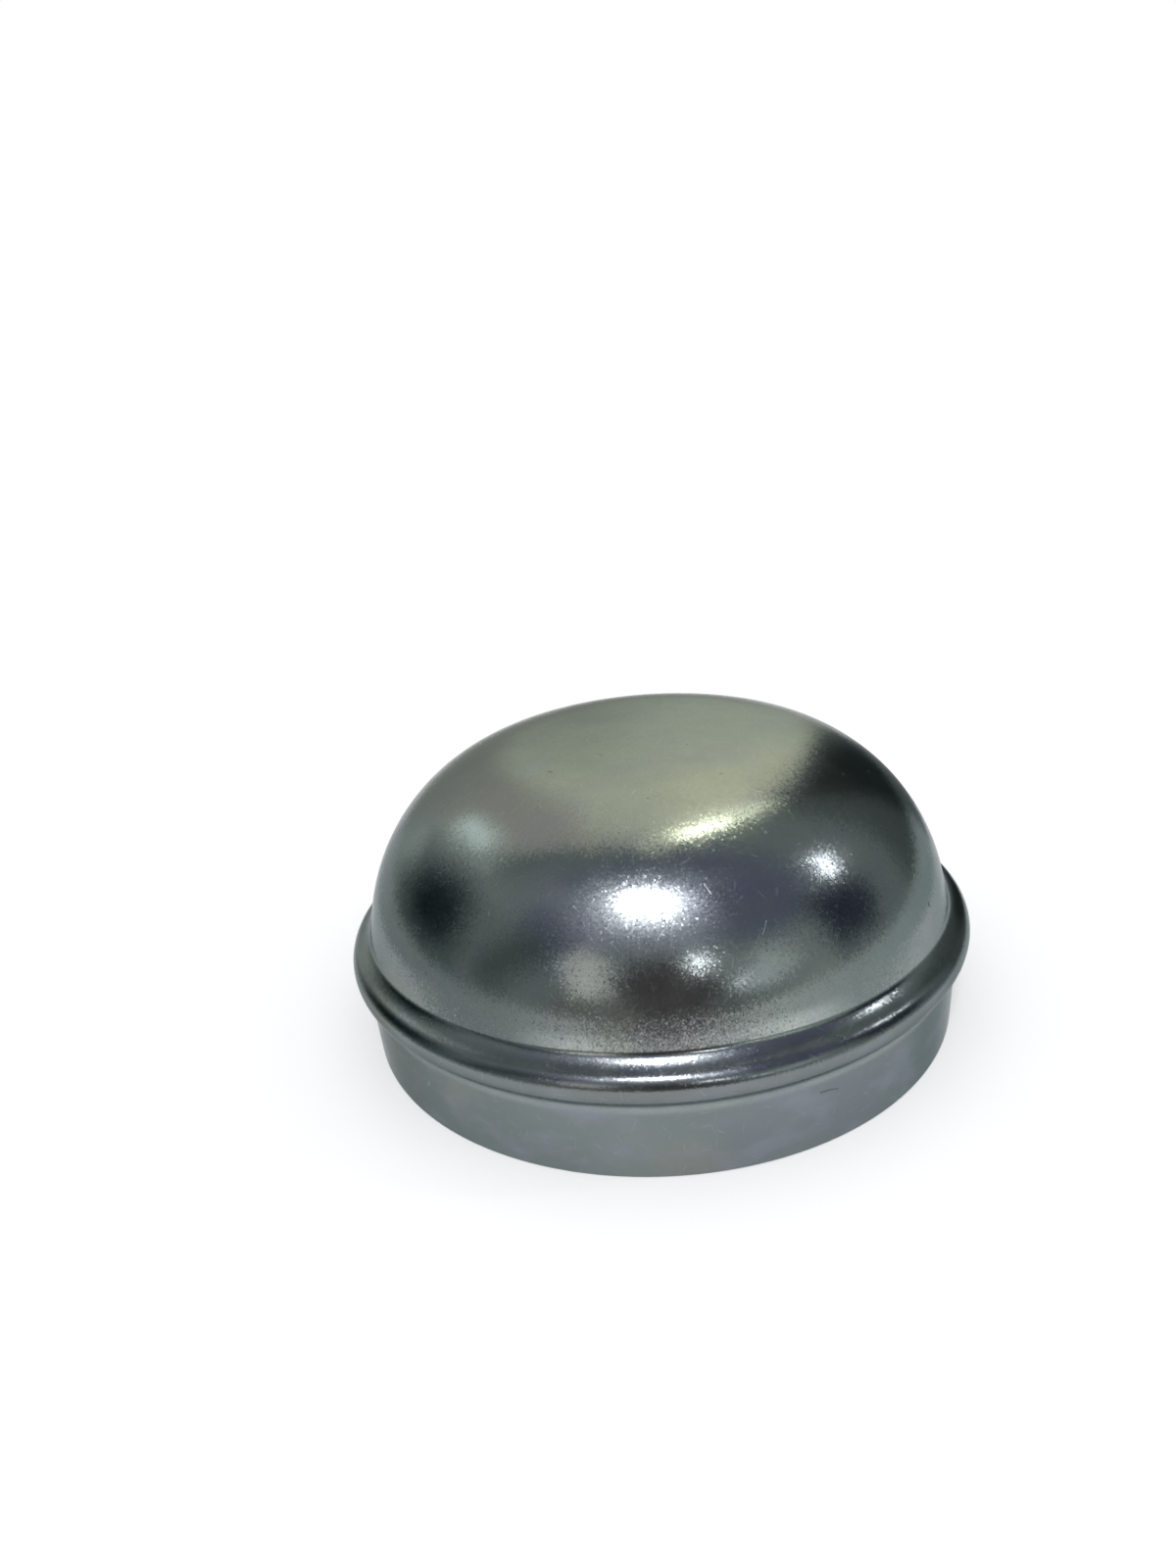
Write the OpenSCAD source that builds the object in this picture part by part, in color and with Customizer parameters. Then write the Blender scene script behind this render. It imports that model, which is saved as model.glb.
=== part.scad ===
// Hub grease cap: one piece of drawn, zinc-plated steel sheet.
// A plain skirt is driven into the hub's bore until the stop bead above it meets the hub's face.
// The origin is on the axis, in the plane of the skirt's open edge, and +Z points to the crown.
// Millimetres and degrees. A lift, dip or lean tells how far a face's outward normal is above,
// below or above the horizontal.

/* [Sheet] */
// Thickness of the steel sheet
sheet_t = 1; // [0.6:0.1:1.3]
// Radius of both corners of the trimmed open edge
edge_r = 0.25; // [0.05:0.05:0.3]

/* [Skirt] */
// Outside diameter of the skirt, which fits the hub's bore
skirt_d = 62; // [54:0.5:90]
// Plain height of the skirt, from the open edge up to the stop bead
skirt_h = 7.25; // [4:0.25:12]

/* [Stop bead] */
// How far the bead stands out beyond the skirt
bead_lip = 1.05; // [0.95:0.05:2]
// Radius of the hollow where the skirt turns out into the bead
root_r = 1.2; // [0.6:0.1:1.6]
// Radius inside the fold at the bead's nose
nose_r = 0.8; // [0.3:0.1:1.1]
// Dip of the bead's underside
under_dip = 45; // [35:1:48]
// Lift of the bead's top
top_lift = 60; // [54:1:62]
// Radius of the gentle hollow between the bead's top and the crease
shoulder_r = 4; // [2.5:0.25:4.75]
// Lift where that hollow runs into the crease
crease_lift = 45; // [40:1:51]
// Radius of the crease where the bead meets the dome
crease_r = 1.1; // [0.7:0.1:1.6]

/* [Dome] */
// Height of the cap above its plain skirt, up to the top of the crown
dome_h = 22.25; // [20:0.25:26]
// How far the dome's foot stands inside the skirt's outer face
foot_inset = 1.2; // [1.05:0.05:2]
// Lean of the dome's straight wall
wall_lean = 16; // [8:1:20]
// Outer radius of the knuckle between the wall and the crown
knuckle_r = 20; // [14:0.5:22]
// Outer radius of the shallow crown
crown_r = 190; // [80:5:300]

/* [Hidden] */
$fn = 240;
zinc_plate = [0.62, 0.64, 0.63];
// Keeps the ends of straight stretches just inside the circles of the bends, and makes circles that
// touch cross instead, so that rounding leaves no step where they meet
hair = 0.0001;

// Direction of an outward normal with a given lift
function normal(lift) = [cos(lift), sin(lift)];
// Direction up a straight stretch whose outward normal has a given lift
function uphill(lift) = [-sin(lift), cos(lift)];

// Centres of the bends, from the skirt up. Each bend is tangent to the stretch before it.
skirt_r = skirt_d / 2;
nose_outer_r = nose_r + sheet_t;
nose_x = skirt_r + bead_lip - nose_outer_r;
root_c = [skirt_r + root_r, skirt_h];
under_l = (nose_x - root_c.x + (root_r + nose_outer_r) * cos(under_dip)) / sin(under_dip);
nose_c = root_c - (root_r + nose_outer_r) * normal(-under_dip) + under_l * uphill(-under_dip);
crease_x = skirt_r - foot_inset + crease_r * cos(wall_lean);
shoulder_x = crease_x + (shoulder_r - crease_r) * cos(crease_lift);
top_l = (nose_x - shoulder_x + (nose_outer_r + shoulder_r) * cos(top_lift)) / sin(top_lift);
shoulder_c = nose_c + (nose_outer_r + shoulder_r) * normal(top_lift) + top_l * uphill(top_lift);
crease_c = shoulder_c - (shoulder_r - crease_r + 3 * hair) * normal(crease_lift);

// The straight wall runs up until a knuckle that is tangent to it also touches the crown from inside,
// which is where the knuckle's centre is crown_r - knuckle_r from the crown's.
crown_c = [0, skirt_h + dome_h - crown_r];
lowest = crease_c - (crease_r + knuckle_r) * normal(wall_lean) - crown_c;
climb = lowest * uphill(wall_lean);
wall_l = sqrt(climb * climb - lowest * lowest + pow(crown_r - knuckle_r, 2)) - climb;
knuckle_c = crown_c + lowest + wall_l * uphill(wall_lean);
crown_lift = atan2(knuckle_c.y - crown_c.y, knuckle_c.x);

// A length that reaches past the whole section
beyond = skirt_d + skirt_h + dome_h;

// All that lies behind a face of the sheet, at a given depth under its outer face. The polygon runs
// through the ends of the straight stretches and the centres of the bends between them. Hollow bends
// are taken off it. The shoulder's circle is wide enough to reach the dome, so only a sector of it is
// used, which ends inside the crease's circle and above the bead's top.
module behind(depth) {
    root = root_r + depth;
    nose = nose_outer_r - depth;
    shoulder = shoulder_r + depth;
    crease = crease_r + depth;
    knuckle = knuckle_r - depth;
    crown = crown_r - depth;
    difference() {
        union() {
            polygon([
                [0, edge_r],
                [skirt_r - depth, edge_r],
                [skirt_r - depth, skirt_h],
                root_c,
                root_c - (root - hair) * normal(-under_dip),
                nose_c + (nose - hair) * normal(-under_dip),
                nose_c,
                nose_c + (nose - hair) * normal(top_lift),
                shoulder_c - (shoulder - hair) * normal(top_lift),
                shoulder_c - (shoulder - hair) * normal(crease_lift),
                crease_c,
                crease_c - (crease - hair) * normal(wall_lean),
                knuckle_c + (knuckle - hair) * normal(wall_lean),
                knuckle_c
            ]);
            translate(nose_c) circle(nose);
            intersection() {
                translate(knuckle_c + 2 * hair * normal(crown_lift)) circle(knuckle);
                translate([0, edge_r]) square(beyond);
            }
            intersection() {
                translate(crown_c) circle(crown);
                polygon([[0, edge_r], knuckle_c, knuckle_c + beyond * normal(crown_lift), [0, beyond]]);
            }
        }
        translate(root_c) circle(root);
        intersection() {
            translate(shoulder_c) circle(shoulder);
            polygon([
                shoulder_c,
                shoulder_c - 2 * shoulder * normal(crease_lift - 0.1),
                shoulder_c - 2 * shoulder * normal(top_lift + 3)
            ]);
        }
        translate(crease_c) circle(crease);
    }
}

// The trimmed edge of the skirt, with both its corners rounded
module open_edge() {
    inner_x = skirt_r - sheet_t + edge_r;
    outer_x = skirt_r - edge_r;
    for (x = [inner_x, outer_x]) translate([x, edge_r]) circle(edge_r);
    translate([inner_x, 0]) square([outer_x - inner_x, 2 * edge_r]);
}

// Half section of the sheet, from the axis out to the bead
module section() {
    difference() {
        behind(0);
        behind(sheet_t);
    }
    open_edge();
}

module grease_cap() {
    color(zinc_plate) rotate_extrude() section();
}

grease_cap();
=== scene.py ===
"""Looks of the hub grease cap: one piece of drawn, zinc-plated steel sheet on a pale floor."""
import logging
import math
from collections.abc import Mapping, Sequence
from dataclasses import dataclass
from enum import Enum
from functools import reduce

import bpy
import numpy as np
from mathutils import Matrix, Vector


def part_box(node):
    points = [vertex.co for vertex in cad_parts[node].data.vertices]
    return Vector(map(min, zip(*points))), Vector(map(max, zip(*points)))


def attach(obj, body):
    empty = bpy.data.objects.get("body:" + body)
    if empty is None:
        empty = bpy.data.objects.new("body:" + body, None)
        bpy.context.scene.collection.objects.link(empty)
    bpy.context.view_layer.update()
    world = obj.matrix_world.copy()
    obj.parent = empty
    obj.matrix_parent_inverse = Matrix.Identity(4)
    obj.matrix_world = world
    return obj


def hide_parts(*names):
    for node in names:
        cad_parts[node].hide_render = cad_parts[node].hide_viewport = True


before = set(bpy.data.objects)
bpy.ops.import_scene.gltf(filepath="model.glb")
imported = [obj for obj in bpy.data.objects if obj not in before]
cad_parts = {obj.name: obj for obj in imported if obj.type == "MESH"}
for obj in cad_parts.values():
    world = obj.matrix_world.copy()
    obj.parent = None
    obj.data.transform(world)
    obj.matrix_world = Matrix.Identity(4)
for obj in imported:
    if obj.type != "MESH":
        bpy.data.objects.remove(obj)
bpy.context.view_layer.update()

NODE = "grease_cap"
MM = 0.001
MICRON = 0.000001

Colour = tuple[float, float, float]
Place = tuple[float, float, float]
Point = tuple[float, float]
log = logging.getLogger("grease_cap")


class Sock:
    """An output socket that takes part in shader maths with other sockets and plain numbers."""

    def __init__(self, tree: "Tree", socket: bpy.types.NodeSocket) -> None:
        """Wraps one output socket of a tree."""
        self.tree = tree
        self.socket = socket

    @property
    def is_vector(self) -> bool:
        """Whether the socket carries three numbers."""
        return self.socket.type in {"VECTOR", "RGBA"}

    def _do(self, operation: str, *operands: "Operand") -> "Sock":
        """Makes a Math node, or a Vector Math node where an operand is a vector.

        Args:
            operation: The node's operation.
            *operands: Its inputs in order.

        Returns:
            The node's result.
        """
        vector = any(isinstance(o, Sock) and o.is_vector for o in operands)
        kind = "ShaderNodeVectorMath" if vector else "ShaderNodeMath"
        filled = [(o,) * 3 if vector and isinstance(o, (int, float)) else o for o in operands]
        return self.tree.node(kind, {"operation": operation}, dict(enumerate(filled)))

    def __add__(self, other: "Operand") -> "Sock":
        """self + other."""
        return self._do("ADD", self, other)

    def __radd__(self, other: "Operand") -> "Sock":
        """other + self."""
        return self._do("ADD", other, self)

    def __sub__(self, other: "Operand") -> "Sock":
        """self - other."""
        return self._do("SUBTRACT", self, other)

    def __rsub__(self, other: "Operand") -> "Sock":
        """other - self."""
        return self._do("SUBTRACT", other, self)

    def __mul__(self, other: "Operand") -> "Sock":
        """self * other."""
        return self._do("MULTIPLY", self, other)

    def __rmul__(self, other: "Operand") -> "Sock":
        """other * self."""
        return self._do("MULTIPLY", other, self)

    def __truediv__(self, other: "Operand") -> "Sock":
        """self / other."""
        return self._do("DIVIDE", self, other)

    def __rtruediv__(self, other: "Operand") -> "Sock":
        """other / self."""
        return self._do("DIVIDE", other, self)

    def __neg__(self) -> "Sock":
        """The negative of self."""
        return self._do("MULTIPLY", self, -1.0)

    def __abs__(self) -> "Sock":
        """The absolute value of self."""
        return self._do("ABSOLUTE", self)

    def at_least(self, other: "Operand") -> "Sock":
        """The greater of self and other."""
        return self._do("MAXIMUM", self, other)

    def at_most(self, other: "Operand") -> "Sock":
        """The smaller of self and other."""
        return self._do("MINIMUM", self, other)

    def root(self) -> "Sock":
        """The square root of self."""
        return self._do("SQRT", self)

    def length(self) -> "Sock":
        """The length of a vector."""
        return self.tree.node("ShaderNodeVectorMath", {"operation": "LENGTH"}, {0: self}, "Value")

    def dot(self, other: "Operand") -> "Sock":
        """The dot product of two vectors."""
        settings = {"operation": "DOT_PRODUCT"}
        return self.tree.node("ShaderNodeVectorMath", settings, {0: self, 1: other}, "Value")

    def unit(self) -> "Sock":
        """The vector's direction."""
        return self._do("NORMALIZE", self)

    def parts(self) -> tuple["Sock", "Sock", "Sock"]:
        """The three components of a vector."""
        first = self.tree.node("ShaderNodeSeparateXYZ", {}, {0: self}, "X")
        return first, first.beside("Y"), first.beside("Z")

    def beside(self, name: str) -> "Sock":
        """Another output of the same node."""
        return Sock(self.tree, self.socket.node.outputs[name])

    def fraction(self) -> "Sock":
        """What self has beyond a whole number."""
        return self._do("FRACT", self)

    def arc_cosine(self) -> "Sock":
        """The angle in degrees whose cosine is self."""
        return self._do("ARCCOSINE", self) * math.degrees(1.0)

    def along(self, vector: Place) -> "Sock":
        """A vector times self."""
        inputs = {0: vector, "Scale": self}
        return self.tree.node("ShaderNodeVectorMath", {"operation": "SCALE"}, inputs)

    def ramp(self, low: float, high: float, at_low: float = 0.0, at_high: float = 1.0) -> "Sock":
        """A smooth step between two levels.

        Args:
            low: Where the step starts.
            high: Where it ends.
            at_low: The result up to low.
            at_high: The result from high on.

        Returns:
            The stepped value.
        """
        settings = {"interpolation_type": "SMOOTHSTEP", "clamp": True}
        inputs = {"Value": self, "From Min": low, "From Max": high,
                  "To Min": at_low, "To Max": at_high}
        return self.tree.node("ShaderNodeMapRange", settings, inputs)

    def inside(self, edge: float, softness: float) -> "Sock":
        """1 where self is below an edge, 0 above it, with a soft change between."""
        return self.ramp(edge - softness, edge + softness, 1.0, 0.0)


Operand = Sock | float | Sequence[float]


class Ray(Enum):
    """A kind of ray, by the name of its output on Light Path."""

    CAMERA = "Is Camera Ray"
    GLOSSY = "Is Glossy Ray"
    THROUGH = "Is Transmission Ray"


class Tree:
    """Makes the nodes of one material or world."""

    def __init__(self, owner: bpy.types.Material | bpy.types.World) -> None:
        """Empties the owner's node tree.

        Args:
            owner: The material or world.
        """
        owner.use_nodes = True
        self.tree = owner.node_tree
        self.tree.nodes.clear()

    def feed(self, target: bpy.types.NodeSocket, value: Operand) -> None:
        """Links a socket to an input, or sets the input's own value.

        Args:
            target: The input.
            value: A socket to link, or a number, vector or colour to set.
        """
        if isinstance(value, Sock):
            self.tree.links.new(value.socket, target)
        elif target.type == "RGBA" and len(value) == 3:
            target.default_value = (*value, 1.0)
        else:
            target.default_value = value

    def node(self, kind: str, settings: Mapping | None = None, inputs: Mapping | None = None,
             out: int | str = 0) -> Sock:
        """Makes one node.

        Args:
            kind: Blender's name for the node type.
            settings: The node's properties by name.
            inputs: Socket values or links, by the socket's name or number.
            out: The output that is returned.

        Returns:
            That output.
        """
        made = self.tree.nodes.new(kind)
        for name, value in (settings or {}).items():
            setattr(made, name, value)
        for name, value in (inputs or {}).items():
            self.feed(made.inputs[name], value)
        return Sock(self, made.outputs[out])

    def end(self, kind: str, shader: Sock) -> None:
        """Makes the output node and gives it the shader."""
        self.tree.links.new(shader.socket, self.tree.nodes.new(kind).inputs["Surface"])

    def mix(self, factor: Operand, first: Operand, second: Operand) -> Sock:
        """Mixes two colours.

        Args:
            factor: Share of the second colour.
            first: The colour where the factor is 0.
            second: The colour where it is 1.

        Returns:
            The mixed colour.
        """
        inputs = {0: factor, 6: first, 7: second}
        return self.node("ShaderNodeMix", {"data_type": "RGBA"}, inputs, 2)

    def rays(self, *kinds: Ray) -> Sock:
        """1 for rays of the given kinds, 0 for the others.

        Args:
            *kinds: One kind or more.

        Returns:
            The value.
        """
        path = self.node("ShaderNodeLightPath")
        return reduce(Sock.at_least, [path.beside(kind.value) for kind in kinds])


@dataclass(frozen=True)
class Fade:
    """A smooth change between 0 and 1 along a value.

    Attributes:
        start: Where it starts, counted from a line that its user gives.
        stop: Where it ends.
        rises: Whether it goes from 0 to 1 rather than from 1 to 0.
    """

    start: float
    stop: float
    rises: bool = True

    def of(self, value: Sock, line: float = 0.0) -> Sock:
        """The fade of a value, counted from a line."""
        ends = (0.0, 1.0) if self.rises else (1.0, 0.0)
        return value.ramp(line + self.start, line + self.stop, *ends)


@dataclass(frozen=True)
class Noise:
    """Noise between 0 and 1.

    Attributes:
        size: Size of its features in millimetres.
        shift: Where in the noise it is read, so that no two are alike.
        detail: How many finer layers it has.
        roughness: How strong the finer layers are.
        squeeze: How much flatter its features are in each direction.
    """

    size: float
    shift: float
    detail: float = 3.0
    roughness: float = 0.5
    squeeze: Place = (1.0, 1.0, 1.0)

    def at(self, place: Sock) -> Sock:
        """The noise at a place that is given in millimetres."""
        inputs = {"Vector": place * self.squeeze + self.shift, "Scale": 1.0 / self.size,
                  "Detail": self.detail, "Roughness": self.roughness}
        return place.tree.node("ShaderNodeTexNoise", {"normalize": True}, inputs)


class Zone(Enum):
    """Which part of the cap a mark or a patch is on."""

    DOME = "the dome, where it is placed by its distance from the axis"
    SKIRT = "the skirt, where it is placed by its height"


def normal(lift: float) -> np.ndarray:
    """Direction of an outward normal with a lift in degrees, as radius and height."""
    return np.array([math.cos(math.radians(lift)), math.sin(math.radians(lift))])


def uphill(lift: float) -> np.ndarray:
    """Direction up a straight stretch whose outward normal has a lift in degrees."""
    return np.array([-math.sin(math.radians(lift)), math.cos(math.radians(lift))])


@dataclass(frozen=True)
class CapSizes:
    """Driving sizes of the cap, in metres and degrees, as in the CAD source.

    Attributes:
        bead_radius: Reach of the bead from the axis.
        height: Height of the crown over the open edge.
        sheet: Thickness of the sheet.
        edge_radius: Radius of the open edge's corners.
        skirt_height: Height where the skirt starts to turn out.
        bead_lip: How far the bead stands out from the skirt.
        root_radius: Bend from the skirt to the bead's underside.
        nose_radius: Bend of the sheet's inner face round the bead.
        under_dip: How far the underside's outward normal points down.
        top_lift: How far that of the bead's top points up.
        shoulder_radius: Gentle hollow on top of the bead.
        crease_lift: Lift of the normal where the hollow tightens.
        crease_radius: Bend of the crease.
        foot_inset: How far the foot of the dome's wall stands in from the skirt.
        wall_lean: How far the wall leans in.
        knuckle_radius: Bend from the wall to the crown.
        crown_radius: Radius of the crown's sphere.
    """

    bead_radius: float
    height: float
    sheet: float = 1.0 * MM
    edge_radius: float = 0.25 * MM
    skirt_height: float = 7.25 * MM
    bead_lip: float = 1.05 * MM
    root_radius: float = 1.2 * MM
    nose_radius: float = 0.8 * MM
    under_dip: float = 45.0
    top_lift: float = 60.0
    shoulder_radius: float = 4.0 * MM
    crease_lift: float = 45.0
    crease_radius: float = 1.1 * MM
    foot_inset: float = 1.2 * MM
    wall_lean: float = 16.0
    knuckle_radius: float = 20.0 * MM
    crown_radius: float = 190.0 * MM

    @classmethod
    def from_frame(cls, node: str) -> "CapSizes":
        """Takes the reach of the bead and the height from a CAD node's box."""
        low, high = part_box(node)
        return cls(bead_radius=(high.x - low.x) / 2, height=high.z - low.z)

    @property
    def skirt_radius(self) -> float:
        """Outer radius of the skirt."""
        return self.bead_radius - self.bead_lip


@dataclass(frozen=True)
class Bend:
    """One arc of the sheet's outer face, seen in section.

    Attributes:
        centre: Its centre, as radius and height.
        radius: Its radius.
        start: Lift of the outward normal where it starts, in degrees.
        stop: The same where it ends.
        hollow: Whether its centre is outside the sheet.
        steps: Number of its points.
    """

    centre: np.ndarray
    radius: float
    start: float
    stop: float
    hollow: bool
    steps: int

    def points(self, depth: float) -> np.ndarray:
        """Points along the bend at a depth under the outer face.

        A point lies at the centre plus the radius times the outward normal, whose lift runs evenly
        from start to stop. In a hollow bend the centre is outside the sheet, so the radius is
        subtracted, and it grows with depth instead of shrinking.

        Args:
            depth: Distance under the outer face.

        Returns:
            An array of radius and height, one row a point.
        """
        lifts = np.radians(np.linspace(self.start, self.stop, self.steps))
        reach = -(self.radius + depth) if self.hollow else self.radius - depth
        return self.centre + reach * np.stack([np.cos(lifts), np.sin(lifts)], axis=1)


class Section:
    """Half section of the sheet, from the axis out to the bead and down to the open edge."""

    STRAIGHT_STATIONS = np.array([0.04, 0.35, 0.65, 0.96])
    LEAST_STRAIGHT = 1e-6

    def __init__(self, sizes: CapSizes) -> None:
        """Works out where the bends' centres are, each tangent to the stretch before it.

        Args:
            sizes: The cap's driving sizes.
        """
        s = self.sizes = sizes
        nose_r = s.nose_radius + s.sheet
        nose_x = s.skirt_radius + s.bead_lip - nose_r
        root_c = np.array([s.skirt_radius + s.root_radius, s.skirt_height])
        bends = s.root_radius + nose_r
        under = (nose_x - root_c[0] + bends * normal(s.under_dip)[0]) / normal(s.under_dip)[1]
        nose_c = root_c - bends * normal(-s.under_dip) + under * uphill(-s.under_dip)
        tighter = s.shoulder_radius - s.crease_radius
        crease_x = s.skirt_radius - s.foot_inset + s.crease_radius * normal(s.wall_lean)[0]
        shoulder_x = crease_x + tighter * normal(s.crease_lift)[0]
        bends = nose_r + s.shoulder_radius
        top = (nose_x - shoulder_x + bends * normal(s.top_lift)[0]) / normal(s.top_lift)[1]
        shoulder_c = nose_c + bends * normal(s.top_lift) + top * uphill(s.top_lift)
        crease_c = shoulder_c - tighter * normal(s.crease_lift)
        crown_c = np.array([0.0, s.height - s.crown_radius])
        lowest = crease_c - (s.crease_radius + s.knuckle_radius) * normal(s.wall_lean) - crown_c
        climb = lowest @ uphill(s.wall_lean)
        reach = s.crown_radius - s.knuckle_radius
        wall = math.sqrt(climb * climb - lowest @ lowest + reach * reach) - climb
        knuckle_c = crown_c + lowest + wall * uphill(s.wall_lean)
        out = knuckle_c - crown_c
        crown_lift = math.degrees(math.atan2(out[1], out[0]))
        self.bends = (
            Bend(root_c, s.root_radius, 0.0, -s.under_dip, True, 14),
            Bend(nose_c, nose_r, -s.under_dip, s.top_lift, False, 30),
            Bend(shoulder_c, s.shoulder_radius, s.top_lift, s.crease_lift, True, 9),
            Bend(crease_c, s.crease_radius, s.crease_lift, s.wall_lean, True, 14),
            Bend(knuckle_c, s.knuckle_radius, s.wall_lean, crown_lift, False, 58),
            Bend(crown_c, s.crown_radius, crown_lift, 90.0, False, 16),
        )
        # the dome's outer face, from the axis down to the foot of its wall
        self.dome = np.concatenate([self.wall_foot[None], self.bends[-2].points(0.0),
                                    self.bends[-1].points(0.0)])[::-1]

    def face(self, depth: float) -> np.ndarray:
        """One face of the sheet, from above the open edge up to just short of the axis.

        The bends' points are joined by straight stretches, each of which has four stations between
        its ends, two of them close to the bends, so that the shading changes only in the bends.

        Args:
            depth: Distance under the outer face.

        Returns:
            An array of radius and height, one row a point.
        """
        foot = np.array([[self.sizes.skirt_radius - depth, self.sizes.edge_radius]])
        arcs = [foot] + [bend.points(depth) for bend in self.bends]
        rows = [foot]
        for lower, upper in zip(arcs, arcs[1:]):
            gap = upper[0] - lower[-1]
            apart = np.hypot(*gap) > self.LEAST_STRAIGHT
            if apart:
                rows.append(lower[-1] + self.STRAIGHT_STATIONS[:, None] * gap)
            rows.append(upper if apart else upper[1:])
        return np.concatenate(rows)[:-1]

    @property
    def wall_foot(self) -> np.ndarray:
        """The foot of the dome's wall, where the crease ends, as radius and height."""
        return self.bends[-3].points(0.0)[-1]

    def spot(self, zone: Zone, azimuth: float, number: float) -> Vector:
        """A spot on the outer face.

        Args:
            zone: The part of the cap that the spot is on.
            azimuth: Its direction in degrees, from -Y towards +X.
            number: Distance from the axis on the dome, or height on the skirt, in millimetres.

        Returns:
            The spot in millimetres.
        """
        turn = math.radians(azimuth)
        if zone is Zone.DOME:
            radius, height = number, float(np.interp(number * MM, *self.dome.T)) / MM
        else:
            radius, height = self.sizes.skirt_radius / MM, number
        return Vector((radius * math.sin(turn), -radius * math.cos(turn), height))

    def edge(self) -> np.ndarray:
        """The open edge, round its outer corner, across its flat and round its inner corner.

        Returns:
            An array of radius and height, one row a point.
        """
        s = self.sizes
        outer = Bend(np.array([s.skirt_radius - s.edge_radius, s.edge_radius]),
                     s.edge_radius, 0.0, -90.0, False, 7)
        inner = Bend(np.array([s.skirt_radius - s.sheet + s.edge_radius, s.edge_radius]),
                     s.edge_radius, -90.0, -180.0, False, 7)
        return np.concatenate([outer.points(0.0)[1:], inner.points(0.0)[:-1]])

    def outline(self) -> tuple[np.ndarray, np.ndarray]:
        """The whole section from the crown down the outer face and up the inner one.

        Returns:
            The points, and for each of them 1 on the inner face and 0 elsewhere.
        """
        outer, edge, inner = self.face(0.0)[::-1], self.edge(), self.face(self.sizes.sheet)
        within = np.concatenate([np.zeros(len(outer) + len(edge)), np.ones(len(inner))])
        return np.concatenate([outer, edge, inner]), within


class CapShell:
    """The cap's sheet as one closed surface of revolution."""

    AROUND = 280

    def __init__(self, sizes: CapSizes) -> None:
        """Keeps the sizes and works out the section."""
        self.sizes = sizes
        self.section = Section(sizes)

    def build(self, name: str) -> bpy.types.Object:
        """Turns the section round the axis.

        The grid has one ring for each point of the section, and each ring is that point's radius
        times the cosine and sine of evenly spaced angles, at the point's height. A single point on
        the axis closes each end with a fan, the crown's outside first and its inside last.

        Args:
            name: The object's name.

        Returns:
            The shell, in place.
        """
        outline, within = self.section.outline()
        turns = np.linspace(0.0, 2.0 * math.pi, self.AROUND, endpoint=False)
        spread = np.stack([np.cos(turns), np.sin(turns), np.ones_like(turns)], axis=1)
        rings = outline[:, [0, 0, 1]][:, None, :] * spread[None]
        poles = np.array([[0.0, 0.0, self.sizes.height]] * 2)
        poles[1, 2] -= self.sizes.sheet
        points = np.concatenate([poles[:1], rings.reshape(-1, 3), poles[1:]])
        mesh = bpy.data.meshes.new(name)
        mesh.from_pydata(points.tolist(), [], self._faces(len(outline)))
        mesh.shade_smooth()
        inner = np.concatenate([[0.0], np.repeat(within, self.AROUND), [1.0]])
        attribute = mesh.attributes.new("within", "FLOAT", "POINT")
        attribute.data.foreach_set("value", inner.astype(np.float32))
        mesh.update()
        shell = bpy.data.objects.new(name, mesh)
        bpy.context.scene.collection.objects.link(shell)
        return shell

    def _faces(self, rings: int) -> list[list[int]]:
        """Faces of the grid and of the fans at its ends, facing out of the sheet.

        Args:
            rings: Number of rings between the two poles.

        Returns:
            Each face's vertex numbers.
        """
        grid = 1 + np.arange(rings * self.AROUND).reshape(rings, self.AROUND)
        beside = np.roll(grid, -1, axis=1)
        quads = np.stack([grid[:-1], grid[1:], beside[1:], beside[:-1]], axis=-1).reshape(-1, 4)
        last = 1 + rings * self.AROUND
        top = np.stack([np.zeros_like(grid[0]), grid[0], beside[0]], axis=1)
        bottom = np.stack([np.full_like(grid[-1], last), beside[-1], grid[-1]], axis=1)
        return quads.tolist() + top.tolist() + bottom.tolist()


class Look(Enum):
    """A look of the plating, or light and shade painted on it."""

    # painted shade: the front of the bead is darkened in colour
    LIP_PAINTED_SHADE = "painted shade on the front of the bead"
    SKIRT = "darker skirt"
    # painted light: the foot of the dome is paled at the front only
    FOOT_PAINTED_SHEEN = "paler foot of the dome, in front"
    # painted light: the hollow under the bead is paled to lift the dark line it mirrors, and made
    # rougher
    ROOT_ROUGH_PAINTED_LIGHT = "paler, rougher hollow under the bead"
    COOL = "faint blue and violet tint"
    WARM = "brown-grey stains"
    CLOUD = "faint clouds"
    CRYSTAL = "crystals of the plating"
    INSIDE = "thinner, duller plating inside the cap"
    EDGE = "trimmed edge"
    HAIR = "hairlines"
    BRIGHT = "fresh scratches that catch the lamps"
    DARK = "stained scratches and specks"
    PIT = "tiny pits"


@dataclass(frozen=True)
class Mark:
    """One mark on the outer face, a rounded stroke between two spots.

    It is full up to one share of its width from its middle line, and gone at another.

    Attributes:
        start: One end, as azimuth in degrees from -Y towards +X and the zone's number in mm.
        stop: The other end.
        width: Width in millimetres.
        look: What the mark is.
        zone: What part of the cap it is on.
    """

    FULL, GONE = 0.25, 0.6

    start: Point
    stop: Point
    width: float
    look: Look
    zone: Zone = Zone.DOME

    def mask(self, place: Sock, section: Section) -> Sock:
        """1 on the mark and 0 beside it, from the distance to the line between its ends.

        Args:
            place: Position in millimetres.
            section: The cap's section, which the mark lies on.

        Returns:
            The mask.
        """
        a, b = section.spot(self.zone, *self.start), section.spot(self.zone, *self.stop)
        span, offset = b - a, place - tuple(a)
        share = (offset.dot(tuple(span)) / span.length_squared).at_least(0.0).at_most(1.0)
        away = (offset - share.along(tuple(span))).length()
        return away.ramp(self.FULL * self.width, self.GONE * self.width, 1.0, 0.0)


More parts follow.
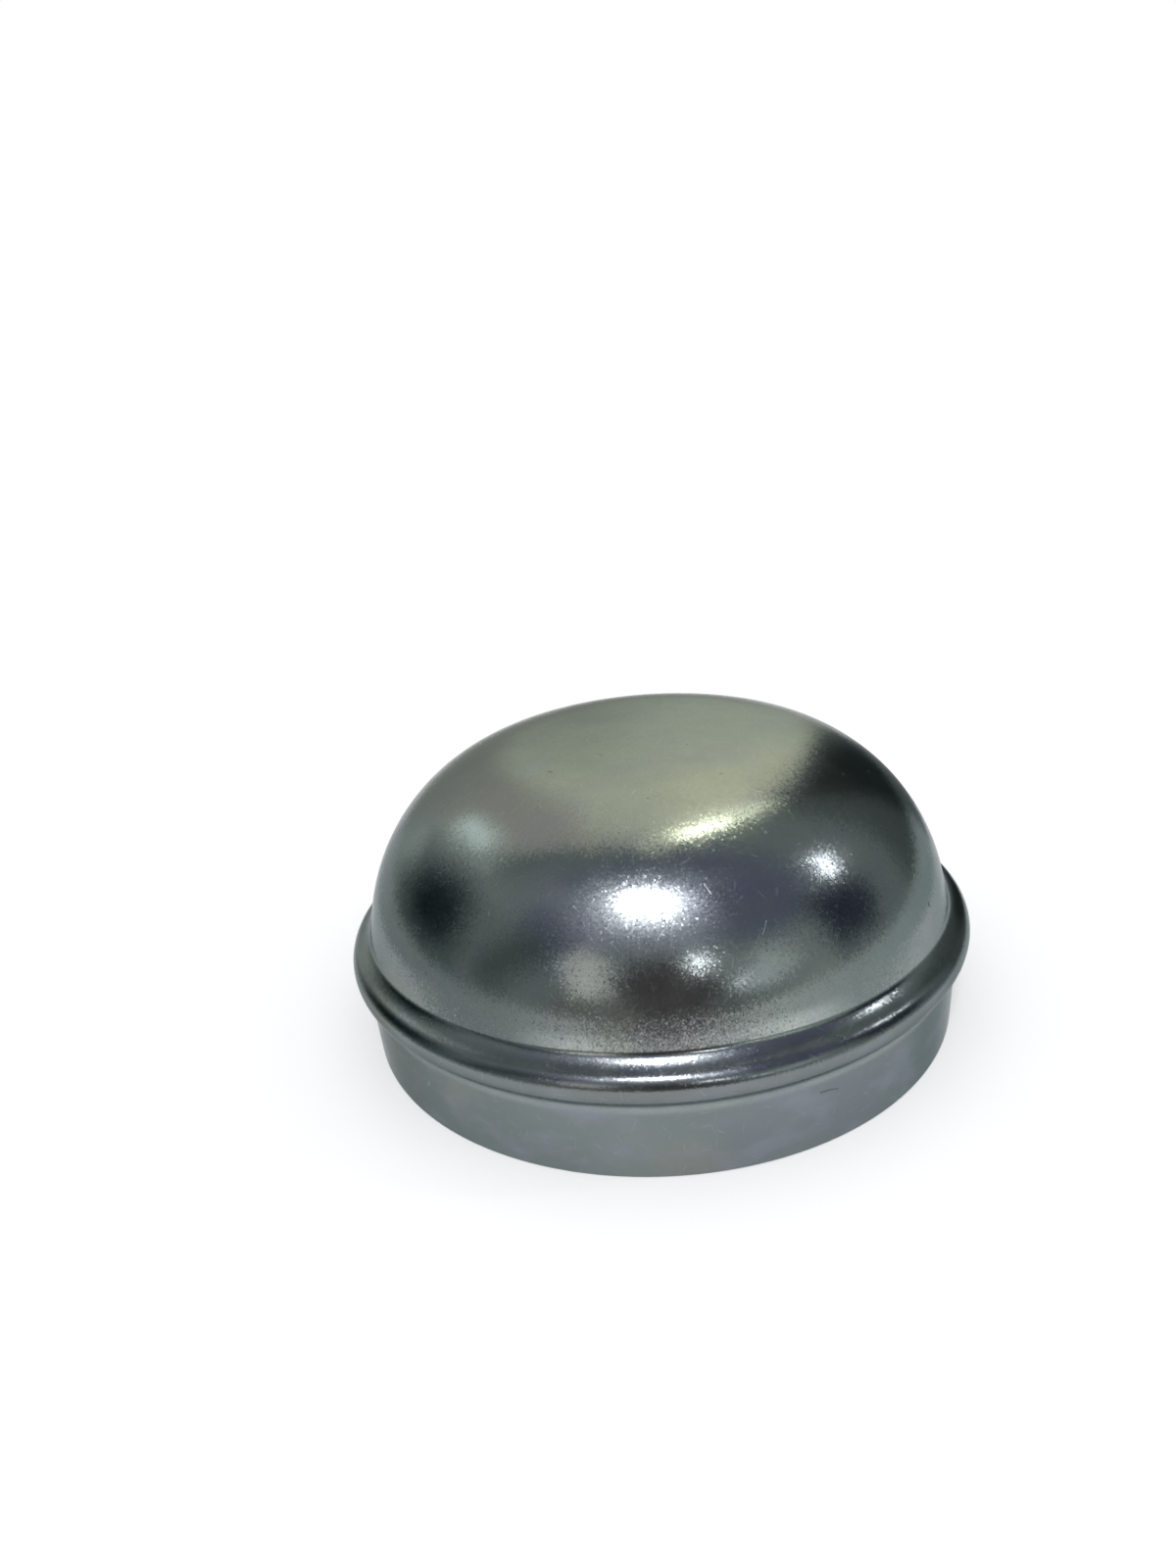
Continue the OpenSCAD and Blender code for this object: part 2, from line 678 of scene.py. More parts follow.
MARKS = (
    Mark((15.3, 26.23), (14.8, 26.51), 0.05, Look.BRIGHT),
    Mark((14.8, 26.51), (14.0, 26.81), 0.06, Look.BRIGHT),
    Mark((5.6, 23.67), (6.1, 24.03), 0.04, Look.BRIGHT),
    Mark((6.1, 24.03), (6.6, 24.37), 0.05, Look.BRIGHT),
    Mark((31.4, 20.14), (32.0, 20.71), 0.06, Look.BRIGHT),
    Mark((-36.5, 25.57), (-36.4, 25.69), 0.16, Look.BRIGHT),
    Mark((54.5, 28.76), (54.5, 28.84), 0.30, Look.DARK),
    Mark((20.1, 5.93), (21.7, 5.88), 0.14, Look.DARK, Zone.SKIRT),
    Mark((21.7, 5.88), (23.4, 5.63), 0.10, Look.DARK, Zone.SKIRT),
    Mark((-47.0, 12.60), (-45.5, 12.59), 0.34, Look.PIT),
    Mark((-34.3, 7.80), (-32.8, 7.79), 0.22, Look.PIT),
    Mark((-3.9, 15.86), (-3.5, 15.86), 0.20, Look.PIT),
    Mark((30.2, 7.20), (31.5, 7.20), 0.20, Look.PIT),
    Mark((23.3, 14.22), (23.8, 14.22), 0.24, Look.PIT),
)


@dataclass(frozen=True)
class Blot:
    """A soft patch of another tint on the outer face, full up to a share of its reach.

    Attributes:
        zone: What part of the cap it is on.
        azimuth: Its direction in degrees, from -Y towards +X.
        number: The zone's number in millimetres.
        reach: Distance at which it has faded, in millimetres.
        colour: Its colour.
        share: How much it covers.
    """

    FULL = 0.2

    zone: Zone
    azimuth: float
    number: float
    reach: float
    colour: Colour
    share: float

    def mask(self, place: Sock, section: Section) -> Sock:
        """Share that the patch covers, from the distance to its middle.

        Args:
            place: Position in millimetres.
            section: The cap's section, which the patch lies on.

        Returns:
            The share.
        """
        middle = section.spot(self.zone, self.azimuth, self.number)
        away = (place - tuple(middle)).length()
        return away.ramp(self.FULL * self.reach, self.reach, self.share, 0.0)


BLOTS = (
    Blot(Zone.SKIRT, -64.0, 6.0, 13.0, (0.212, 0.208, 0.182), 0.85),
    Blot(Zone.SKIRT, -38.0, 5.0, 11.0, (0.182, 0.222, 0.222), 0.75),
    Blot(Zone.SKIRT, 11.0, 4.6, 7.0, (0.222, 0.242, 0.278), 0.65),
    Blot(Zone.SKIRT, 26.0, 3.8, 8.0, (0.205, 0.225, 0.258), 0.75),
    Blot(Zone.SKIRT, -8.0, 1.2, 7.0, (0.255, 0.290, 0.282), 0.70),
    Blot(Zone.SKIRT, 50.0, 6.0, 8.0, (0.170, 0.200, 0.200), 0.60),
)


@dataclass(frozen=True)
class Layer:
    """What one look does to the plating.

    Attributes:
        look: Which look it is.
        colour: Its colour.
        share: How much it covers.
        more_low: How much more it covers on the skirt.
        rough: Roughness that it adds.
        depth: How deep it is, in microns.
    """

    look: Look
    colour: Colour
    share: float = 1.0
    more_low: float = 0.0
    rough: float = 0.0
    depth: float = 0.0


@dataclass(frozen=True)
class Hairlines:
    """Short straight scratches in all directions. Lengths in millimetres.

    One is full up to a share of its width from its middle line and gone at another, and starts to
    fade at a share of its reach.

    Attributes:
        cell: Size of the random cells, each of which has one scratch at most.
        reach: Longest half length of a scratch.
        width: Width of a scratch.
        share: Share of the cells that have one.
        shift: Where in the cells they are read.
    """

    FULL, GONE, FADING, CHOICE = 0.2, 0.6, 0.55, 0.02

    cell: float
    reach: float
    width: float
    share: float
    shift: float = 0.0

    def mask(self, place: Sock) -> Sock:
        """1 on a scratch and 0 beside it.

        In each cell, a thin plane goes through the cell's centre in a random direction and is cut
        off at a reach, so that it meets the surface in a short line.

        Args:
            place: Position in millimetres.

        Returns:
            The mask.
        """
        settings = {"feature": "F1", "distance": "EUCLIDEAN"}
        moved = place + self.shift
        inputs = {"Vector": moved, "Scale": 1.0 / self.cell, "Randomness": 1.0}
        cells = place.tree.node("ShaderNodeTexVoronoi", settings, inputs, "Color")
        offset = moved - cells.beside("Position")
        away = abs(offset.dot((cells - 0.5).unit()))
        line = away.ramp(self.FULL * self.width, self.GONE * self.width, 1.0, 0.0)
        ends = offset.length().ramp(self.FADING * self.reach, self.reach, 1.0, 0.0)
        return line * ends * cells.parts()[2].inside(self.share, self.CHOICE)


@dataclass(frozen=True)
class PlatingZones:
    """Where the looks that keep to one stretch of the section start and end, in millimetres.

    Attributes:
        edge_high: End of the trimmed edge, counted from its plane.
        skirt_high: End of the skirt, counted from its own height.
        root_low: Start of the hollow under the bead, counted from the skirt's height.
        root_high: Its end.
        lip_low: Start of the bead's front, counted from the skirt's height.
        lip_out: The same, outwards from the foot of the dome's wall.
        lip_front: The same, from the axis to the front.
        foot_low: Start of the dome's foot, counted from the foot of its wall.
        foot_high: Its end.
        foot_front: The same, from the axis to the front.
    """

    edge_high: Fade = Fade(0.1, 0.3, False)
    skirt_high: Fade = Fade(-1.0, 1.0, False)
    root_low: Fade = Fade(-0.5, 0.1)
    root_high: Fade = Fade(1.0, 1.6, False)
    lip_low: Fade = Fade(0.7, 1.6)
    lip_out: Fade = Fade(0.1, 0.8)
    lip_front: Fade = Fade(8.0, 22.0)
    foot_low: Fade = Fade(-0.15, 0.05)
    foot_high: Fade = Fade(0.55, 1.75, False)
    foot_front: Fade = Fade(25.5, 28.5)

    def masks(self, place: Sock, section: Section) -> dict[Look, Sock]:
        """Masks of the looks that keep to one stretch of the section.

        Args:
            place: Position in millimetres.
            section: The cap's section.

        Returns:
            The masks by look.
        """
        across, deep, height = place.parts()
        radius, front = (across * across + deep * deep).root(), -deep
        top = section.sizes.skirt_height / MM
        foot_r, foot_z = (section.wall_foot / MM).tolist()
        lip = self.lip_low.of(height, top) * self.lip_out.of(radius, foot_r)
        foot = self.foot_low.of(height, foot_z) * self.foot_high.of(height, foot_z)
        return {Look.EDGE: self.edge_high.of(height),
                Look.SKIRT: self.skirt_high.of(height, top),
                # painted light in the hollow under the bead
                Look.ROOT_ROUGH_PAINTED_LIGHT: self.root_low.of(height, top) * self.root_high.of(height, top),
                # painted shade on the front of the bead
                Look.LIP_PAINTED_SHADE: lip * self.lip_front.of(front),
                # painted light on the front of the dome's foot
                Look.FOOT_PAINTED_SHEEN: foot * self.foot_front.of(front)}


@dataclass(frozen=True)
class ZincFinish:
    """Bright, satin zinc plating with fine grain, hairlines, a few marks and some painted light and
    shade.

    Attributes:
        metal: Colour of the clean plating.
        edge_tint: What is left of the reflection at grazing angles.
        roughness: Roughness of the clean plating.
        smoothest: Least roughness that any spot has.
        facet: Size of the plating's crystals in millimetres, each of which tilts its own way.
        facet_tilt: Greatest sideways tilt of their normals, as a share of the normal's length.
        facet_rest: Share of that tilt that each of them has at least.
        scramble: Uneven numbers that make a second random number of a crystal's colour.
        cloud: Pattern of the faint clouds.
        cloud_edge: Where in the pattern a cloud starts and is full.
        cloud_rough: How much the pattern changes the roughness.
        stain: Pattern of the brown-grey stains.
        stain_edge: Where in the pattern a stain starts and is full.
        stain_rough: How much the pattern changes the roughness.
        tint: Pattern of the blue and violet tint.
        tint_edge: Where in the pattern the tint starts and is full.
        wave: Waviness of the drawn sheet.
        wave_depth: How deep it is, in microns.
        fine: The many fine hairlines.
        fine_share: How strong they are beside the coarse ones.
        coarse: The few coarse hairlines.
        zones: Where the looks that keep to one stretch of the section are.
        layers: The looks, from the bottom one up.
    """

    metal: Colour = (0.306, 0.334, 0.328)
    edge_tint: Colour = (0.49, 0.53, 0.54)
    roughness: float = 0.160
    smoothest: float = 0.08
    facet: float = 0.14
    facet_tilt: float = 0.09
    facet_rest: float = 0.30
    scramble: Place = (37.1, 51.7, 23.9)
    cloud: Noise = Noise(2.4, 11.3)
    cloud_edge: Fade = Fade(0.35, 0.75)
    cloud_rough: float = 0.12
    stain: Noise = Noise(9.0, 5.9, roughness=0.55)
    stain_edge: Fade = Fade(0.55, 0.78)
    stain_rough: float = 0.07
    tint: Noise = Noise(4.6, 77.1, squeeze=(1.0, 1.0, 1.8))
    tint_edge: Fade = Fade(0.45, 0.72)
    wave: Noise = Noise(8.0, 3.3, detail=0.0)
    wave_depth: float = 110.0
    fine: Hairlines = Hairlines(1.3, 0.6, 0.05, 0.75)
    fine_share: float = 0.7
    coarse: Hairlines = Hairlines(4.2, 1.0, 0.036, 0.14, 50.0)
    zones: PlatingZones = PlatingZones()
    layers: tuple[Layer, ...] = (
        # painted shade: darker colour on the front of the bead, a little rougher
        Layer(Look.LIP_PAINTED_SHADE, (0.205, 0.224, 0.226), rough=0.03),
        Layer(Look.SKIRT, (0.213, 0.253, 0.254)),
        # painted light: paler colour on the front of the dome's foot
        Layer(Look.FOOT_PAINTED_SHEEN, (0.56, 0.60, 0.59), 0.95),
        # painted light: paler colour in the hollow under the bead, plus added roughness
        Layer(Look.ROOT_ROUGH_PAINTED_LIGHT, (0.56, 0.60, 0.59), 0.33, rough=0.22),
        Layer(Look.COOL, (0.28, 0.30, 0.36), 0.35, 0.30),
        Layer(Look.WARM, (0.305, 0.29, 0.265), 0.25, 0.25),
        Layer(Look.CLOUD, (0.2448, 0.2672, 0.2624), 0.22),
        Layer(Look.CRYSTAL, (0.2326, 0.2538, 0.2493), 0.24, rough=0.04),
        Layer(Look.INSIDE, (0.26, 0.27, 0.265), rough=0.10),
        Layer(Look.EDGE, (0.30, 0.29, 0.28), 0.35, rough=0.06),
        Layer(Look.HAIR, (0.62, 0.64, 0.66), 0.25, rough=0.08, depth=1.2),
        Layer(Look.BRIGHT, (0.72, 0.74, 0.76), 0.50, rough=0.12, depth=3.0),
        Layer(Look.DARK, (0.06, 0.065, 0.065), 0.75, rough=0.15),
        Layer(Look.PIT, (0.12, 0.12, 0.10), 0.40, depth=9.0),
    )

    def _facets(self, place: Sock) -> tuple[Sock, Sock]:
        """The tilts of the plating's crystals.

        Space is divided into random cells, each with a random colour. The colour less its mean is
        the way that the crystal tilts. How far it tilts comes from a second random number, the
        fraction of a large multiple of the same colour, to the third power, so that most crystals
        lie nearly flat and a few glint.

        Args:
            place: Position in millimetres.

        Returns:
            The tilt to add to the normal, and a random number for each crystal.
        """
        inputs = {"Vector": place, "Scale": 1.0 / self.facet, "Randomness": 1.0}
        cell = place.tree.node("ShaderNodeTexVoronoi", {"feature": "F1"}, inputs, "Color")
        number = cell.dot(self.scramble).fraction()
        tilt = (number * number * number + self.facet_rest) * self.facet_tilt
        return (cell - 0.5) * tilt, number

    def _marks(self, place: Sock, section: Section) -> dict[Look, Sock]:
        """Masks of the single marks, those of one look together.

        Args:
            place: Position in millimetres.
            section: The cap's section, which the marks lie on.

        Returns:
            The masks by look.
        """
        made: dict[Look, Sock] = {}
        for mark in MARKS:
            mask = mark.mask(place, section)
            made[mark.look] = made[mark.look].at_least(mask) if mark.look in made else mask
        return made

    def build(self, name: str, section: Section) -> bpy.types.Material:
        """Makes the plated steel.

        Each layer is mixed over the ones before it by its mask, and adds its own roughness and
        depth there. The soft patches lie on the skirt's layer and under the rest.

        Args:
            name: The material's name.
            section: The cap's section, which places the zones, patches and marks.

        Returns:
            The material.
        """
        material = bpy.data.materials.new(name)
        tree = Tree(material)
        place = tree.node("ShaderNodeTexCoord", out="Object") * (1.0 / MM)
        within = tree.node("ShaderNodeAttribute", {"attribute_name": "within"}, out="Fac")
        tilt, crystal = self._facets(place)
        cloud, stain = self.cloud.at(place), self.stain.at(place)
        hair = (self.fine.mask(place) * self.fine_share).at_least(self.coarse.mask(place))
        masks = self.zones.masks(place, section) | self._marks(place, section) | {
            Look.COOL: self.tint_edge.of(self.tint.at(place)),
            Look.WARM: self.stain_edge.of(stain), Look.CLOUD: self.cloud_edge.of(cloud),
            Look.CRYSTAL: crystal, Look.INSIDE: within, Look.HAIR: hair * (1.0 - within)}

        colour = self.metal
        for layer in self.layers:
            low = layer.more_low * masks[Look.SKIRT] if layer.more_low else 0.0
            colour = tree.mix(masks[layer.look] * (low + layer.share), colour, layer.colour)
            for blot in BLOTS if layer.look is Look.SKIRT else ():
                colour = tree.mix(blot.mask(place, section), colour, blot.colour)
        rough = self.roughness + self.cloud_rough * (cloud - 0.5) + self.stain_rough * (stain - 0.5)
        rough = sum((layer.rough * masks[layer.look] for layer in self.layers if layer.rough),
                    rough)
        relief = self.wave_depth * self.wave.at(place)
        relief = sum((-layer.depth * masks[layer.look] for layer in self.layers if layer.depth),
                     relief)

        inputs = {"Strength": 1.0, "Distance": MICRON, "Height": relief}
        bump = tree.node("ShaderNodeBump", {}, inputs, "Normal")
        inputs = {"Base Color": colour, "Metallic": 1.0,
                  "Roughness": rough.at_least(self.smoothest),
                  "Normal": (bump + tilt).unit(), "Specular Tint": self.edge_tint}
        shader = tree.node("ShaderNodeBsdfPrincipled", {}, inputs, "BSDF")
        tree.end("ShaderNodeOutputMaterial", shader)
        return material


@dataclass(frozen=True)
class FloorFinish:
    """Plain, matt, pale floor, filled up to white for the camera and for metal that mirrors it.

    Attributes:
        colour: Its colour.
        shade: Its colour where it is a trace darker.
        shade_share: How much of that there is at most.
        cloud: Pattern of the faint cloudiness.
        fill: Radiance added for camera, glossy and transmission rays.
    """

    colour: Colour = (0.90, 0.90, 0.90)
    shade: Colour = (0.855, 0.855, 0.855)
    shade_share: float = 0.05
    cloud: Noise = Noise(60.0, 0.0)
    fill: Colour = (0.12, 0.12, 0.12)

    def build(self, name: str) -> bpy.types.Material:
        """Makes the floor's material.

        Args:
            name: The material's name.

        Returns:
            The material.
        """
        material = bpy.data.materials.new(name)
        tree = Tree(material)
        place = tree.node("ShaderNodeTexCoord", out="Object") * (1.0 / MM)
        colour = tree.mix(self.cloud.at(place) * self.shade_share, self.colour, self.shade)
        seen = tree.rays(Ray.CAMERA, Ray.GLOSSY, Ray.THROUGH)
        inputs = {"Base Color": colour, "Roughness": 1.0, "Diffuse Roughness": 0.5,
                  "Specular IOR Level": 0.0, "Emission Strength": 1.0,
                  "Emission Color": tree.mix(seen, (0.0, 0.0, 0.0), self.fill)}
        matt = tree.node("ShaderNodeBsdfPrincipled", {}, inputs, "BSDF")
        tree.end("ShaderNodeOutputMaterial", matt)
        return material


@dataclass(frozen=True)
class Panel:
    """A soft-edged panel of the studio that the metal mirrors.

    Positions are degrees on a chart of the sky: the zenith is its middle, the horizon its circle of
    90, +X is right and +Y is behind the cap.

    Attributes:
        corners: Corners of a convex outline, anticlockwise.
        soft: Half width of the soft edge.
        colour: Its radiance.
        share: How much it covers what is behind it.
    """

    corners: tuple[Point, ...]
    soft: float
    colour: Colour
    share: float = 1.0

    def mask(self, x: Sock, y: Sock) -> Sock:
        """Share that the panel covers, from the greatest distance outside any of its sides.

        Args:
            x: Place on the chart.
            y: Place on the chart.

        Returns:
            The share.
        """
        outside = None
        for (x0, y0), (x1, y1) in zip(self.corners, self.corners[1:] + self.corners[:1]):
            side = math.hypot(x1 - x0, y1 - y0)
            across, along = (y1 - y0) / side, (x0 - x1) / side
            away = across * x + along * y - (across * x0 + along * y0)
            outside = away if outside is None else outside.at_least(away)
        return outside.inside(0.0, self.soft) * self.share


@dataclass(frozen=True)
class Strip:
    """A soft-edged strip light between two places of the chart.

    Attributes:
        start: One end, in chart degrees.
        stop: The other end.
        radius: Half its width.
        soft: Half width of its soft edge.
        colour: Its radiance.
        share: How much it covers what is behind it.
    """

    start: Point
    stop: Point
    radius: float
    soft: float
    colour: Colour
    share: float = 1.0

    def mask(self, x: Sock, y: Sock) -> Sock:
        """Share that the strip covers, from the distance to the line between its ends.

        Args:
            x: Place on the chart.
            y: Place on the chart.

        Returns:
            The share.
        """
        (x0, y0), (x1, y1) = self.start, self.stop
        dx, dy = x1 - x0, y1 - y0
        share = ((x - x0) * dx + (y - y0) * dy) / (dx * dx + dy * dy)
        share = share.at_least(0.0).at_most(1.0)
        away_x, away_y = x - x0 - share * dx, y - y0 - share * dy
        away = (away_x * away_x + away_y * away_y).root()
        return away.inside(self.radius, self.soft) * self.share


@dataclass(frozen=True)
class Window:
    """A soft-edged stretch of the chart that goes on without end behind the cap.

    Attributes:
        left: Its left edge.
        right: Its right edge.
        front: Its front edge.
    """

    left: Fade
    right: Fade
    front: Fade

    def mask(self, x: Sock, y: Sock) -> Sock:
        """1 inside and 0 outside, at a place of the chart."""
        return self.left.of(x) * self.right.of(x) * self.front.of(y)


@dataclass(frozen=True)
class Studio:
    """The soft studio around the cap: plain light for matt surfaces, panels for metal to mirror.

    Attributes:
        soft_light: Radiance that lights matt surfaces, the same from all sides.
        backdrop: Radiance of the backdrop that the camera sees.
        room: Radiance that metal mirrors where there is no panel.
        ground: Radiance below the horizon, past the floor, in front of the cap and behind it.
        ground_left: The same at the left.
        ground_right: The same at the right.
        left_to_right: Where along the chart's X the left ground turns into the right one.
        middle_to_side: Where to either side the ground turns into that of the sides.
        horizon: Where the ground starts, in degrees from the zenith.
        late: Degrees by which it starts lower in the middle.
        late_middle: Where to either side that ends.
        gap: The dark gap beside the wall, which goes on below the horizon.
        gap_share: Share of the ground that the gap hides.
        far_ground: Radiance of the ground far behind the cap.
        far: Where it is on the chart.
        far_low: Where it starts, in degrees from the zenith.
        zenith: Least horizontal part of a direction, so that none is divided by zero.
        pieces: Panels and strips, from the back to the front.
    """

    soft_light: Colour = (0.74, 0.74, 0.74)
    backdrop: Colour = (1.0, 1.0, 1.0)
    room: Colour = (0.26, 0.30, 0.295)
    ground: Colour = (1.02, 1.02, 1.00)
    ground_left: Colour = (0.37, 0.42, 0.42)
    ground_right: Colour = (0.52, 0.60, 0.59)
    left_to_right: Fade = Fade(-30.0, 30.0)
    middle_to_side: Fade = Fade(30.0, 105.0)
    horizon: Fade = Fade(91.0, 94.2)
    late: float = 2.6
    late_middle: Fade = Fade(35.0, 60.0, False)
    gap: Window = Window(Fade(36.0, 42.0), Fade(62.0, 72.0, False), Fade(40.0, 60.0))
    gap_share: float = 0.8
    far_ground: Colour = (1.12, 1.12, 1.10)
    far: Window = Window(Fade(-42.0, -20.0), Fade(30.0, 38.0, False), Fade(78.0, 90.0))
    far_low: Fade = Fade(89.0, 98.0)
    zenith: float = 1e-4
    pieces: tuple[Panel | Strip, ...] = (
        # halo side in front, cool and violet
        Panel(((-50, -48), (50, -50), (52, -12), (20, -2), (-50, -10)), 8.0, (0.175, 0.185, 0.26)),
        Strip((-36, -14), (-24, -28), 6.0, 8.0, (0.40, 0.42, 0.46), 0.80),
        Strip((-14, -23), (8, -23), 7.0, 7.0, (0.46, 0.48, 0.58), 0.80),
        Strip((-20, -37), (7, -42), 10.5, 11.0, (0.64, 0.62, 0.80), 0.83),
        Strip((-13, -32), (6, -33), 8.5, 6.0, (1.9, 1.9, 2.1), 0.80),
        Strip((-42, 8), (-6, -3), 3.0, 4.0, (0.16, 0.19, 0.19), 0.70),
        Strip((50, -4), (54, -4), 5.0, 5.0, (0.9, 0.95, 1.05), 0.50),
        # pale wall behind the cap, its left part greyer
        Panel(((-12, 3), (10, 3), (25, 15), (33, 50), (36, 78), (34, 100), (-44, 100), (-47, 75),
               (-48, 50), (-40, 14)), 3.5, (0.60, 0.58, 0.52)),
        Panel(((-12, 11), (10, 9), (24, 17), (31, 50), (33, 78), (31, 100), (-12, 100),
               (-16, 60)), 7.0, (0.98, 0.99, 0.78)),
        Panel(((10, 16), (24, 18), (31, 50), (31, 74), (12, 74), (6, 40)), 8.0, (1.28, 1.25, 0.92)),
        Panel(((-50, 76), (38, 76), (38, 104), (-50, 104)), 8.0, (0.60, 0.57, 0.50), 0.9),
        Panel(((3, 58), (31, 56), (31, 84), (6, 80)), 6.0, (1.24, 1.22, 0.98), 0.9),
        # dark gap right of it
        Panel(((34, 18), (92, 29), (82, 52), (62, 100), (39, 100), (35, 50)), 5.0,
              (0.13, 0.15, 0.145)),
        Panel(((37, 28), (52, 38), (67, 58), (62, 86), (48, 86), (38, 60)), 5.0,
              (0.03, 0.04, 0.037)),
        # dark corners of the room
        Panel(((-46, 50), (-46, 100), (-55, 100), (-64, 78), (-61, 50)), 6.0, (0.68, 0.73, 0.68)),
        Panel(((-62, 54), (-56, 104), (-80, 92), (-90, 60)), 6.0, (0.42, 0.47, 0.44)),
        Panel(((-56, -2), (-58, 38), (-68, 52), (-96, 48), (-99, -6), (-78, -10)), 6.0,
              (0.12, 0.16, 0.155)),
        Panel(((-60, 12), (-62, 32), (-70, 40), (-80, 34), (-86, 12), (-80, 2), (-70, 2)), 6.0,
              (0.01, 0.022, 0.024)),
        Strip((-50, 2), (-47, -14), 6.0, 6.0, (0.36, 0.40, 0.37), 0.85),
        Strip((-52, -36), (-80, -28), 9.0, 8.0, (0.09, 0.12, 0.115), 0.92),
        Panel(((50, -28), (78, -34), (86, -10), (78, 0), (64, 0)), 6.0, (0.035, 0.04, 0.07)),
        Strip((50, -42), (58, -43), 4.0, 5.0, (0.42, 0.47, 0.44), 0.80),
        Panel(((-27, -98), (22, -98), (26, -72), (10, -60), (-16, -60), (-27, -72)), 6.0,
              (0.095, 0.083, 0.086)),
        Panel(((-66, -68), (-20, -98), (-18, -84), (-60, -60)), 4.0, (0.22, 0.22, 0.20)),
        # paler patches near the floor in front
        Panel(((-45, -67), (-32, -74), (-27, -57), (-33, -47), (-43, -50)), 5.0,
              (1.15, 1.13, 1.07)),
        Panel(((38, -76), (52, -70), (58, -52), (44, -48), (36, -60)), 6.0, (0.76, 0.84, 0.79)),
        Strip((26, -87), (62, -70), 3.5, 5.0, (0.09, 0.10, 0.095), 0.90),
        Strip((14, -63), (16, -64), 3.0, 6.0, (1.30, 1.32, 1.30), 0.65),
        Strip((34, -71), (37, -71), 2.0, 4.0, (1.0, 1.0, 0.98), 0.55),
        Panel(((62, -68), (90, -60), (92, -38), (64, -42)), 6.0, (0.42, 0.45, 0.42)),
        # window at the left and strip lamp along the wall's edge
        Strip((-45, 14), (-48, 40), 5.0, 5.0, (0.62, 0.68, 0.64), 0.70),
        Strip((-40, 27), (-41, 38), 4.5, 5.5, (1.40, 1.57, 1.50)),
        Strip((2, 2), (25, 20), 2.5, 6.0, (2.6, 2.6, 1.9), 0.50),
        Strip((10, 6), (20, 13), 1.0, 2.6, (17.0, 17.3, 12.8)),
        Strip((20, 13), (29, 23), 1.0, 2.4, (3.2, 3.3, 2.4)),
    )

    def build(self, name: str) -> bpy.types.World:
        """Makes the world.

        The chart's place of a direction is its horizontal part, stretched so that its length is the
        angle from the zenith. Matt surfaces get the soft light, the camera sees the backdrop, and
        metal mirrors the panels and, low down, the ground.

        Args:
            name: The world's name.

        Returns:
            The world.
        """
        world = bpy.data.worlds.new(name)
        tree = Tree(world)
        x, y, z = tree.node("ShaderNodeTexCoord", out="Generated").unit().parts()
        angle = z.arc_cosine()
        flat = (x * x + y * y).root().at_least(self.zenith)
        chart_x, chart_y = angle * x / flat, angle * y / flat
        aside = abs(chart_x)
        colour = self.room
        for piece in self.pieces:
            colour = tree.mix(piece.mask(chart_x, chart_y), colour, piece.colour)
        sides = tree.mix(self.left_to_right.of(chart_x), self.ground_left, self.ground_right)
        ground = tree.mix(self.middle_to_side.of(aside), self.ground, sides)
        low = self.horizon.of(angle - self.late * self.late_middle.of(aside))
        low = low * (1.0 - self.gap_share * self.gap.mask(chart_x, chart_y))
        colour = tree.mix(low, colour, ground)
        far = self.far_low.of(angle) * self.far.mask(chart_x, chart_y)
        colour = tree.mix(far, colour, self.far_ground)
        seen = tree.mix(tree.rays(Ray.GLOSSY), self.soft_light, colour)
        seen = tree.mix(tree.rays(Ray.CAMERA, Ray.THROUGH), seen, self.backdrop)
        inputs = {"Color": seen, "Strength": 1.0}
        shader = tree.node("ShaderNodeBackground", {}, inputs, "Background")
        tree.end("ShaderNodeOutputWorld", shader)
        world.cycles.sampling_method = "NONE"
        return world


@dataclass(frozen=True)
class Lamp:
    """A soft lamp that shines at the cap.

    Attributes:
        name: The lamp's name.
        azimuth: Its direction in degrees, from -Y towards +X.
        elevation: Its height above the horizon in degrees.
        across: Its horizontal width as seen from the cap, in degrees.
        along: Its other width, in degrees.
        turn: Turn of the lamp about the way it shines, in degrees.
        radiance: Brightness of its face.
        colour: Colour of its light.
        distance: Distance from the cap in metres.
    """

    name: str
    azimuth: float
    elevation: float
    across: float
    along: float
    turn: float
    radiance: float
    colour: Colour = (0.96, 0.98, 1.0)
    distance: float = 1.2

    def build(self, target: Vector) -> bpy.types.Object:
        """Makes the lamp.

        Its power is its radiance times four times the area of its ellipse, since Blender spreads
        an area lamp's power in that way.

        Args:
            target: The point that it shines at.

        Returns:
            The lamp.
        """
        azimuth, elevation = math.radians(self.azimuth), math.radians(self.elevation)
        flat = math.cos(elevation)
        out = Vector((math.sin(azimuth) * flat, -math.cos(azimuth) * flat, math.sin(elevation)))
        light = bpy.data.lights.new(self.name, "AREA")
        light.shape = "ELLIPSE"
        light.size = 2.0 * self.distance * math.tan(math.radians(self.across / 2))
        light.size_y = 2.0 * self.distance * math.tan(math.radians(self.along / 2))
        light.color = self.colour
        light.energy = self.radiance * 4.0 * math.pi * light.size / 2 * light.size_y / 2
        lamp = bpy.data.objects.new(self.name, light)
        lamp.rotation_mode = "QUATERNION"
        turned = Matrix.Rotation(math.radians(self.turn), 3, "Z").to_quaternion()
        lamp.rotation_quaternion = (-out).to_track_quat("-Z", "Y") @ turned
        lamp.location = target + out * self.distance
        lamp.visible_camera = False
        bpy.context.scene.collection.objects.link(lamp)
        return lamp


LAMPS = (
    Lamp("lamp_front", -7.8, 57.5, 16.5, 8.5, 0.0, 24.0),
    Lamp("lamp_right", 84.4, 35.6, 2.4, 9.5, -20.0, 15.0),
    Lamp("lamp_low", 12.3, 24.5, 6.0, 5.4, 0.0, 7.5),
    Lamp("lamp_low_right", 26.2, 11.0, 4.6, 3.4, 0.0, 2.6),
)


